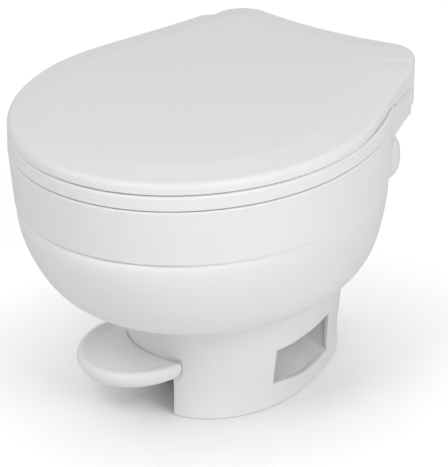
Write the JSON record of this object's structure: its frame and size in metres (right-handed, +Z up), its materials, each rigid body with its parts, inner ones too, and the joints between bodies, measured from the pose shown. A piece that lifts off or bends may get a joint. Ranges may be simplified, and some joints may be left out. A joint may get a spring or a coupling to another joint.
{
  "type": "rv toilet",
  "caption": "Low plastic toilet for a touring vehicle: round bowl on a narrow foot, hinged seat and crowned lid, and a foot pedal geared to a ball valve under the bowl.",
  "frame": {"origin": "on the floor, at the middle of the toilet's width and length", "axes": "+Z up, -Y towards the front of the bowl, +X to the side without the pedal"},
  "size_m": [0.371, 0.472, 0.3507],
  "materials": {
    "white_plastic": "satin white",
    "inner_plastic": "plain off-white",
    "grey_plastic": "plain grey",
    "hose_plastic": "milky",
    "black_rubber": "matt black",
    "steel": "plain stainless"
  },
  "bodies": {
    "toilet": {"base_shell": "white_plastic", "bowl": "white_plastic", "hinge_deck": "white_plastic", "rear_water_cover": "white_plastic", "valve_body": "inner_plastic", "bowl_seal": "black_rubber", "floor_seal": "black_rubber", "shaft_bush_left": "grey_plastic", "shaft_bush_right": "grey_plastic", "return_spring": "steel", "hinge_pin_left": "steel", "hinge_pin_right": "steel", "deck_screw_left": "steel", "deck_screw_right": "steel", "valve_screw_1": "steel", "valve_screw_2": "steel", "valve_screw_3": "steel", "valve_screw_4": "steel", "water_valve": "grey_plastic", "inlet_fitting": "grey_plastic", "supply_hose": "hose_plastic", "vacuum_breaker": "grey_plastic", "breaker_cap": "inner_plastic", "rim_hose": "hose_plastic", "rim_nozzle": "grey_plastic"},
    "seat": {"seat": "white_plastic", "seat_bumper_1": "black_rubber", "seat_bumper_2": "black_rubber", "seat_bumper_3": "black_rubber", "seat_bumper_4": "black_rubber"},
    "lid": {"lid": "white_plastic", "lid_bumper_left": "black_rubber", "lid_bumper_right": "black_rubber"},
    "pedal": {"pedal": "white_plastic", "pedal_shaft": "steel", "sector_gear": "grey_plastic", "shaft_circlip": "steel"},
    "ball": {"waste_ball": "inner_plastic", "valve_shaft": "steel", "valve_pivot_pin": "steel", "valve_pinion": "grey_plastic"}
  },
  "joints": [
    {"name": "seat_hinge", "type": "hinge", "parent": "toilet", "child": "seat", "pos_m": [0, 0.2302, 0.3211], "axis": [-1, 0, 0], "range_deg": [0, 92]},
    {"name": "lid_hinge", "type": "hinge", "parent": "seat", "child": "lid", "pos_m": [0, 0.2302, 0.3211], "axis": [-1, 0, 0], "range_deg": [0, 95]},
    {"name": "pedal_hinge", "type": "hinge", "parent": "toilet", "child": "pedal", "pos_m": [-0.02522, -0.00164, 0.046], "axis": [0.9135, -0.4067, 0], "range_deg": [0, 18], "stiffness_Nm_per_rad": 3, "springref_deg": -20.05, "deforming": ["return_spring"]},
    {"name": "ball_hinge", "type": "hinge", "parent": "toilet", "child": "ball", "pos_m": [0, 0.055, 0.08261], "axis": [0.9135, -0.4067, 0], "range_deg": [-90, 0]}
  ],
  "couplings": [
    {"joint": "ball_hinge", "follows": "pedal_hinge", "ratio": -5}
  ]
}
